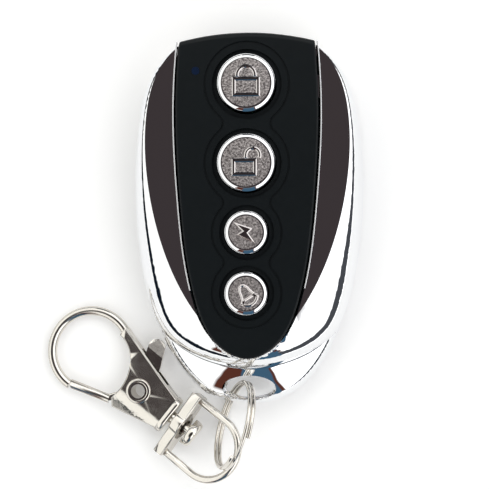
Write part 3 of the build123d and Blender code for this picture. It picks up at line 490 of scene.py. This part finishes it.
def length_along_y(obj):
    """How far the vertices of an object reach along y."""
    places = [vertex.co.y for vertex in obj.data.vertices]
    return max(places) - min(places)


def largest(obj):
    """Part an object into its loose pieces and keep the largest."""
    only(obj)
    bpy.ops.object.mode_set(mode="EDIT")
    bpy.ops.mesh.select_all(action="SELECT")
    bpy.ops.mesh.separate(type="LOOSE")
    bpy.ops.object.mode_set(mode="OBJECT")
    parts = sorted(bpy.context.selected_objects, key=length_along_y)
    for part in parts[:-1]:
        bpy.data.objects.remove(part)
    return parts[-1]


def faces_beside(mesh):
    """The faces on either side of each edge."""
    beside = {}
    for face in mesh.polygons:
        for key in face.edge_keys:
            beside.setdefault(key, []).append(face)
    return beside


def is_level(obj, face):
    """Whether all the corners of a face lie on one level."""
    heights = [obj.data.vertices[index].co.z for index in face.vertices]
    return max(heights) - min(heights) < FLAT_WITHIN


def smooth_copy(node):
    """Joined copy with smooth shading that keeps its flats flat, in the place of the node."""
    copy = joined_copy(node, SLIVER)
    bpy.ops.object.shade_smooth_by_angle(angle=SMOOTH_ANGLE)
    beside = faces_beside(copy.data)
    for edge in copy.data.edges:
        if len({is_level(copy, face) for face in beside[edge.key]}) > 1:
            edge.use_edge_sharp = True
    bpy.ops.object.modifier_add(type="WEIGHTED_NORMAL")
    copy.modifiers[-1].keep_sharp = True
    bpy.ops.object.modifier_apply(modifier=copy.modifiers[-1].name)
    settle(copy, f"{node}_plated", SLOTS[node])
    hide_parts(node)
    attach(copy, BODIES[node])
    return copy


def settle(obj, name, look):
    """Name a finished piece, apply its place and give it its only material."""
    only(obj)
    bpy.ops.object.transform_apply(location=True, rotation=True, scale=True)
    obj.name = name
    obj.data.name = name
    obj.data.materials.clear()
    obj.data.materials.append(MATERIALS[look])
    return obj


def loop_of(points, closed=True):
    """Edges through the points, each pulled out of the one before, as the active object in edit mode."""
    bpy.ops.object.select_all(action="DESELECT")
    bpy.ops.mesh.primitive_plane_add(size=MM, location=(0, 0, 0))
    bpy.ops.object.mode_set(mode="EDIT")
    bpy.ops.mesh.select_mode(type="VERT")
    bpy.ops.mesh.select_all(action="SELECT")
    bpy.ops.mesh.merge(type="CENTER")
    path = [Vector((*point, 0)[:3]) for point in points]
    bpy.ops.transform.translate(value=path[0])
    last = path[0]
    for point in path[1:] + ([path[0]] if closed else []):
        bpy.ops.mesh.extrude_region_move(TRANSFORM_OT_translate={"value": point - last})
        last = point
    bpy.ops.mesh.select_all(action="SELECT")
    if closed:
        bpy.ops.mesh.remove_doubles(threshold=2 * SAME_PLACE)
    return bpy.context.active_object


def raised(points, hollow, height, slope):
    """Raised flat shape inside an outline, or a band of a width along it, with sloping edges."""
    obj = loop_of(scaled(points))
    bpy.ops.mesh.edge_face_add()
    bpy.ops.mesh.select_mode(type="FACE")
    bpy.ops.object.mode_set(mode="OBJECT")
    downwards = obj.data.polygons[0].normal.z < 0
    bpy.ops.object.mode_set(mode="EDIT")
    if downwards:
        bpy.ops.mesh.flip_normals()
    if hollow:
        bpy.ops.mesh.inset(thickness=hollow, depth=0)
        bpy.ops.mesh.delete(type="FACE")
    bpy.ops.mesh.select_all(action="SELECT")
    bpy.ops.mesh.inset(thickness=slope, depth=height, use_boundary=True)
    bpy.ops.object.mode_set(mode="OBJECT")
    return obj


def wire(points, closed, radius, corners=4, caps=True):
    """Round wire along a path of points."""
    obj = loop_of(points, closed)
    bpy.ops.object.mode_set(mode="OBJECT")
    bpy.ops.object.convert(target="CURVE")
    obj = bpy.context.active_object
    obj.data.dimensions = "3D"
    obj.data.bevel_depth = radius
    obj.data.bevel_resolution = corners
    obj.data.use_fill_caps = caps
    bpy.ops.object.convert(target="MESH")
    return bpy.context.active_object


def arc(centre, radius, first, last, steps=14):
    """Points on an arc, from one angle to another in degrees."""
    turn = [radians(first + (last - first) * step / steps) for step in range(steps + 1)]
    return [(centre[0] + radius * cos(angle), centre[1] + radius * sin(angle)) for angle in turn]


def scaled(points):
    """Points given in millimetres, in metres."""
    return [tuple(number * MM for number in point) for point in points]


def turned(points, angle):
    """Points turned about the origin by an angle in degrees."""
    across, up = cos(radians(angle)), sin(radians(angle))
    return [(x * across - y * up, x * up + y * across) for x, y in points]


def shackle(centre, radius, width, first, last, legs):
    """Outline of a padlock's bow: an outer arc and an inner one, with straight legs downwards."""
    outer = arc(centre, radius, first, last)
    inner = arc(centre, radius - width, last, first)
    foot = (outer[-1][0], outer[-1][1] - legs[1]), (inner[0][0], inner[0][1] - legs[1])
    start = (inner[-1][0], inner[-1][1] - legs[0]), (outer[0][0], outer[0][1] - legs[0])
    return outer + list(foot) + inner + list(start)


def case(left, right, bottom, top):
    """Outline of a padlock's case."""
    return [(left, bottom), (right, bottom), (right, top), (left, top)]


BELL_TILT = 33.0
BELL_SIDE = [(1.65, -1.0), (1.25, -0.6), (1.02, 0.1), (0.9, 0.8), (0.55, 1.45), (0.0, 1.7)]
BELL = BELL_SIDE + [(-x, y) for x, y in reversed(BELL_SIDE[:-1])]
BELL_MOUTH = arc((0, -0.35), 1.85, 207, 333) + arc((0, -0.35), 1.38, 325, 215)

# Symbols of the buttons in millimetres: outline, and the width's share of the band if it is hollow
SYMBOLS = {
    "lock": [
        (case(-2.25, 2.25, -2.3, 0.87), 1.0),
        (shackle((0, 1.15), 1.74, 0.6, 0, 180, (0.28, 0.28)), 0.0),
    ],
    "unlock": [
        (case(-2.3, 1.75, -2.2, 0.6), 1.0),
        (shackle((1.1, 1.15), 1.4, 0.55, -25, 180, (0.0, 0.55)), 0.0),
    ],
    "flash": [
        ([(-2.05, 1.65), (1.05, 0.6), (0.35, -0.1), (1.5, -1.75), (-1.5, -0.4), (-0.55, 0.2)], 0.0),
    ],
    "bell": [
        (turned(BELL, BELL_TILT), 0.62),
        (turned(BELL_MOUTH, BELL_TILT), 0.0),
    ],
}


class PieceOperator:
    """What every operator of this script shares."""

    bl_options = {"REGISTER", "UNDO"}
    nodes = ()
    smooth = ()

    def execute(self, context):
        dress(*self.nodes)
        for node in self.smooth:
            smooth_copy(node)
        return {"FINISHED"}


class REMOTE_OT_plated_frame(PieceOperator, bpy.types.Operator):
    """Polished plate on the horseshoe frame"""

    bl_idname = "remote.plated_frame"
    bl_label = "Plated frame"
    smooth = ("chrome_frame",)

    def execute(self, context):
        self.seat_line()
        return super().execute(context)

    def seat_line(self):
        """Rounded bright edge where the panel's seat meets the flat facets, from the panel's side wall."""
        wall = joined_copy("front_panel")
        pick(wall, "FACE", lambda face: abs(face.normal.z) < 0.01 and face.center.y < PANEL_END
             and PANEL_WALL[0] < face.center.z < PANEL_WALL[1])
        wall = largest(split_off(wall))
        only(wall)
        bpy.ops.object.mode_set(mode="EDIT")
        bpy.ops.mesh.select_all(action="SELECT")
        bpy.ops.transform.shrink_fatten(value=SEAT_REACH)
        bpy.ops.object.mode_set(mode="OBJECT")
        foot = min(vertex.co.z for vertex in wall.data.vertices) + SEAT_LINE
        places = [vertex.co.copy() for vertex in wall.data.vertices
                  if vertex.co.z < foot and vertex.co.y > FACET_TIP]
        bpy.data.objects.remove(wall)
        for name, side in (("left", -1), ("right", 1)):
            points = sorted((point for point in places if point.x * side > 0), key=lambda point: point.y)
            line = wire([(point.x, point.y, SEAT_LEVEL) for point in points], False, SEAT_LINE, 3, caps=False)
            settle(line, f"{name}_seat_line", "chrome")
            bpy.ops.object.shade_smooth_by_angle(angle=WIRE_ANGLE)
            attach(line, "housing")


class REMOTE_OT_black_panel(PieceOperator, bpy.types.Operator):
    """Fine-grained black panel and its light pipe"""

    bl_idname = "remote.black_panel"
    bl_label = "Black panel"
    nodes = ("front_panel", "led_window")


class REMOTE_OT_back_cover(PieceOperator, bpy.types.Operator):
    """Black back cover and its screws"""

    bl_idname = "remote.back_cover"
    bl_label = "Back cover"
    nodes = ("back_cover", "cover_screws")


class REMOTE_OT_circuit(PieceOperator, bpy.types.Operator):
    """Circuit board with its chips, resonator, antenna and lamp"""

    bl_idname = "remote.circuit"
    bl_label = "Circuit board"
    nodes = ("circuit_board", "encoder_chip", "chip_legs", "saw_resonator", "radio_transistor",
             "chip_parts", "loop_antenna", "status_led")


class REMOTE_OT_power(PieceOperator, bpy.types.Operator):
    """Cell and its two contacts"""

    bl_idname = "remote.power"
    bl_label = "Cell and contacts"
    nodes = ("battery", "contact_plate", "contact_spring")


class REMOTE_OT_switches(PieceOperator, bpy.types.Operator):
    """Tactile switches with their plungers and legs"""

    bl_idname = "remote.switches"
    bl_label = "Switches"
    nodes = ("switch_legs",) + tuple(
        f"{name}_{piece}" for name in BUTTONS for piece in ("switch", "plunger")
    )


class REMOTE_OT_split_ring(PieceOperator, bpy.types.Operator):
    """Smooth ring of two close turns of wire"""

    bl_idname = "remote.split_ring"
    bl_label = "Split ring"

    def execute(self, context):
        turns = [2 * pi * step / RING_TURN for step in range(2 * RING_TURN - RING_SHORT)]
        path = [
            (RING_RADIUS * cos(turn), RING_RADIUS * sin(turn), RING_PITCH * (turn / (2 * pi) - 1))
            for turn in turns
        ]
        ring = wire(path, False, RING_WIRE)
        onwards = RING_ALONG.cross(RING_ACROSS)
        ring.matrix_world = Matrix((RING_ACROSS, onwards.cross(RING_ACROSS), onwards)).transposed().to_4x4()
        ring.location = RING_CENTRE
        settle(ring, "ring_wire", "nickel")
        bpy.ops.object.shade_smooth_by_angle(angle=WIRE_ANGLE)
        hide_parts("split_ring")
        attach(ring, "ring")
        return {"FINISHED"}


class REMOTE_OT_swivel(PieceOperator, bpy.types.Operator):
    """Swivel loop with its strap, and the headed post that turns in it"""

    bl_idname = "remote.swivel"
    bl_label = "Swivel loop and post"
    smooth = ("swivel_post",)

    def execute(self, context):
        super().execute(context)
        loop = smooth_copy("swivel_loop")
        for side, deeper in STRAP_DEEPER.items():
            outwards = STRAP_AXIS * side
            pick(loop, "VERT", lambda vertex: (
                STRAP_HALF / 3 < (vertex.co - STRAP_PLACE).dot(outwards) < 1.1 * STRAP_HALF))
            bpy.ops.object.mode_set(mode="EDIT")
            bpy.ops.transform.translate(value=outwards * deeper)
            bpy.ops.object.mode_set(mode="OBJECT")
        return {"FINISHED"}


class REMOTE_OT_clasp(PieceOperator, bpy.types.Operator):
    """Lobster clasp with its gate, eyelet and spring"""

    bl_idname = "remote.clasp"
    bl_label = "Clasp"
    nodes = ("gate_spring",)
    smooth = ("gate_lever", "pivot_rivet")

    def execute(self, context):
        super().execute(context)
        smooth_copy("clasp_body").data.materials[0] = MATERIALS["plate"]
        for name, side in (("upper", 1), ("lower", -1)):
            bpy.ops.object.select_all(action="DESELECT")
            bpy.ops.mesh.primitive_torus_add(
                major_radius=EYELET_RADIUS, minor_radius=EYELET_WIRE, major_segments=64, minor_segments=16,
            )
            rim = context.active_object
            rim.scale = (1, 1, EYELET_SQUASH)
            rim.rotation_euler = PLATE_UP.to_track_quat("Z", "Y").to_euler()
            rim.location = PLATE_MIDDLE + PLATE_UP * side * EYELET_LEVEL
            settle(rim, f"eyelet_rim_{name}", "nickel")
            bpy.ops.object.shade_smooth()
            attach(rim, "clasp")
        return {"FINISHED"}


class REMOTE_OT_buttons(PieceOperator, bpy.types.Operator):
    """Plated caps with a polished rim, a blasted face and a raised symbol"""

    bl_idname = "remote.buttons"
    bl_label = "Buttons"

    def cap(self, name, centre, diameter, settings):
        """Turned cap: a cylinder drawn up and in ring by ring, so that its rim is an arc."""
        radius = diameter / 2
        arc_radius = settings.rim_width / sin(settings.rim_angle)
        rim_height = arc_radius * (1 - cos(settings.rim_angle))
        depth = BUTTON_TOP - rim_height - BUTTON_FOOT
        bpy.ops.object.select_all(action="DESELECT")
        bpy.ops.mesh.primitive_cylinder_add(
            vertices=RIM_SIDES, radius=radius, depth=depth, location=(0, centre, BUTTON_FOOT + depth / 2),
        )
        cap = bpy.context.active_object
        height = max(face.center.z for face in cap.data.polygons)
        pick(cap, "FACE", lambda face: face.center.z >= height)
        bpy.ops.object.mode_set(mode="EDIT")
        wide = radius
        for step in range(1, RIM_STEPS + 1):
            angle = settings.rim_angle * (1 - step / RIM_STEPS)
            before = settings.rim_angle * (1 - (step - 1) / RIM_STEPS)
            rise = arc_radius * (cos(angle) - cos(before))
            narrow = radius - settings.rim_width + arc_radius * sin(angle)
            bpy.ops.mesh.extrude_region_move(TRANSFORM_OT_translate={"value": (0, 0, rise)})
            share = narrow / wide
            bpy.ops.transform.resize(value=(share, share, 1), center_override=(0, centre, 0))
            wide = narrow
        bpy.ops.object.mode_set(mode="OBJECT")
        settle(cap, f"{name}_cap", "chrome")
        cap.data.materials.append(MATERIALS["blasted"])
        top = max(cap.data.polygons, key=lambda face: (round(face.center.z, 6), face.area))
        top.material_index = 1
        bpy.ops.object.shade_smooth_by_angle(angle=CAP_ANGLE)
        return cap

    def execute(self, context):
        scene = context.scene
        relief = scene.remote_relief
        for name, diameter in BUTTONS.items():
            centre = middle(f"{name}_button").y
            cap = self.cap(name, centre, diameter, scene.remote_button)
            shapes = []
            for outline, share in SYMBOLS[name]:
                shape = raised(outline, share * relief.band, relief.height, relief.slope)
                shape.location = (0, centre, BUTTON_TOP)
                shapes.append(settle(shape, f"{name}_relief", "relief"))
            bpy.ops.object.select_all(action="DESELECT")
            for shape in shapes:
                shape.select_set(True)
            if len(shapes) > 1:
                bpy.ops.object.join()
            symbol = bpy.context.active_object
            symbol.name = f"{name}_symbol"
            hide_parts(f"{name}_button")
            for piece in (cap, symbol):
                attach(piece, f"{name}_key")
        return {"FINISHED"}


class REMOTE_OT_studio(PieceOperator, bpy.types.Operator):
    """Pale floor, soft studio light and the camera of the photograph"""

    bl_idname = "remote.studio"
    bl_label = "Studio"

    def sky(self, context, brightness):
        """White softboxes in a ring, a dark room above and below them, and small colour cards."""
        world = bpy.data.worlds.new("studio")
        context.scene.world = world
        world.use_nodes = True
        look = Look(world.node_tree)
        toward = look.node("ShaderNodeTexCoord", {}, out="Generated")
        across, along, up = look.parts(toward)
        noise = look.node("ShaderNodeTexNoise", {}, Vector=toward, Scale=2.6, Detail=1.0)
        wobble = (noise - 0.5) * WOBBLE
        outwards = (across * across + along * along).math("SQRT") + 0.0001
        side = across / outwards
        away = 0.0 - along / outwards

        def card(left, right):
            """1 on a card between two sides, in front of the lug."""
            return (side + wobble - left).above(0.0, 0.03) * (right - side + wobble).above(0.0, 0.03)

        horizon = (HORIZON_TOP + side * 0.05 + wobble - up).above(0.0, 0.04) * up.above(0.03, 0.02)
        below_top = (BOX_TOP - up).above(0.0, 0.05)
        notch = (0.0 - away).above(0.98, 0.005) * (0.5 - up).above(0.0, 0.05)
        ceiling = look.mix(up.above(0.5, 0.3), rgb(0.02, 0.024, 0.03), rgb(0.05, 0.04, 0.042))
        room = look.mix((side + 0.2).above(0.0, 0.5), rgb(0.006, 0.011, 0.019), rgb(0.07, 0.075, 0.085))
        dark = look.mix((up - 0.55).above(0.0, 0.1), room, ceiling)
        dimmer = brightness * DIMMER
        white = look.mix((side + 0.6).above(0.0, 0.9), rgb(dimmer, dimmer, dimmer * 0.97),
                         rgb(brightness, brightness, brightness))
        front = away.above(0.0, 0.02) * card(*BROWN_CARD)
        blue = front * card(*BLUE_CARD)
        colour = look.mix(below_top * (1.0 - horizon) * (1.0 - notch), dark, white)
        colour = look.mix(front * below_top * up.above(CARD_FOOT, 0.05), colour, rgb(0.11, 0.035, 0.022))
        colour = look.mix(blue * below_top, colour, rgb(0.055, 0.125, 0.2))
        shader = look.node("ShaderNodeBackground", {}, Color=colour, Strength=1.0)
        look.node("ShaderNodeOutputWorld", {}, Surface=shader)

    def floor(self):
        """Large pale floor that the remote lies on, plain white where it is seen directly."""
        bpy.ops.object.select_all(action="DESELECT")
        bpy.ops.mesh.primitive_plane_add(size=FLOOR_SIZE, location=(0, 0, 0))
        floor = bpy.context.active_object
        MATERIALS["floor"] = material("floor", rgb(0.93, 0.93, 0.925), 0.9)
        look = Look(MATERIALS["floor"].node_tree, clear=False)
        shader = look.tree.nodes["Principled BSDF"]
        ray = look.tree.nodes.new("ShaderNodeLightPath")
        seen = (Value(look, ray.outputs["Is Camera Ray"]) + Value(look, ray.outputs["Is Glossy Ray"])
                + Value(look, ray.outputs["Is Transmission Ray"]))
        glow = look.mix(seen.clamp(), rgb(0, 0, 0), rgb(FLOOR_LIFT, FLOOR_LIFT, FLOOR_LIFT))
        look.tree.links.new(glow.socket, shader.inputs["Emission Color"])
        shader.inputs["Emission Strength"].default_value = 1.0
        settle(floor, "floor", "floor")

    def execute(self, context):
        studio = context.scene.remote_studio
        self.sky(context, studio.softbox)
        self.floor()
        bpy.ops.object.camera_add(location=studio.camera_place)
        camera = context.active_object
        # the picture's up direction stays along +Y
        back = (Vector(studio.camera_place) - Vector(studio.aim)).normalized()
        right = Vector((0, 1, 0)).cross(back).normalized()
        camera.rotation_euler = Matrix((right, back.cross(right), back)).transposed().to_euler()
        camera.data.lens = studio.lens
        camera.data.shift_x = studio.shift
        camera.data.clip_start = MM
        camera.data.clip_end = 10.0
        context.scene.camera = camera
        context.scene.view_settings.view_transform = "Standard"
        return {"FINISHED"}


OPERATORS = [
    REMOTE_OT_plated_frame,
    REMOTE_OT_black_panel,
    REMOTE_OT_back_cover,
    REMOTE_OT_circuit,
    REMOTE_OT_power,
    REMOTE_OT_switches,
    REMOTE_OT_buttons,
    REMOTE_OT_split_ring,
    REMOTE_OT_swivel,
    REMOTE_OT_clasp,
    REMOTE_OT_studio,
]


class REMOTE_PT_pieces(bpy.types.Panel):
    """Buttons for every piece, in the order that they are built"""

    bl_label = "Gate remote"
    bl_idname = "REMOTE_PT_pieces"
    bl_space_type = "VIEW_3D"
    bl_region_type = "UI"
    bl_category = "Gate remote"

    def draw(self, context):
        for operator in OPERATORS:
            self.layout.operator(operator.bl_idname)
        for group in (context.scene.remote_relief, context.scene.remote_button, context.scene.remote_studio):
            for name in group.bl_rna.properties.keys():
                if name not in ("rna_type", "name"):
                    self.layout.prop(group, name)


SETTINGS = {
    "remote_relief": ReliefSettings,
    "remote_button": ButtonSettings,
    "remote_studio": StudioSettings,
}


def register():
    """Add the settings, operators and panel."""
    for group in SETTINGS.values():
        bpy.utils.register_class(group)
    for name, group in SETTINGS.items():
        setattr(bpy.types.Scene, name, PointerProperty(type=group))
    for operator in OPERATORS:
        bpy.utils.register_class(operator)
    bpy.utils.register_class(REMOTE_PT_pieces)


def unregister():
    """Take the panel, operators and settings away again."""
    bpy.utils.unregister_class(REMOTE_PT_pieces)
    for operator in reversed(OPERATORS):
        bpy.utils.unregister_class(operator)
    for name, group in SETTINGS.items():
        delattr(bpy.types.Scene, name)
        bpy.utils.unregister_class(group)


def corners(bounds):
    """Two corners as plain lists."""
    return [[float(number) for number in corner] for corner in bounds]


def main():
    """Build everything in order."""
    register()
    MATERIALS.update(build_materials())
    for operator in OPERATORS:
        family, name = operator.bl_idname.split(".")
        getattr(getattr(bpy.ops, family), name)()


if __name__ == "__main__":
    main()
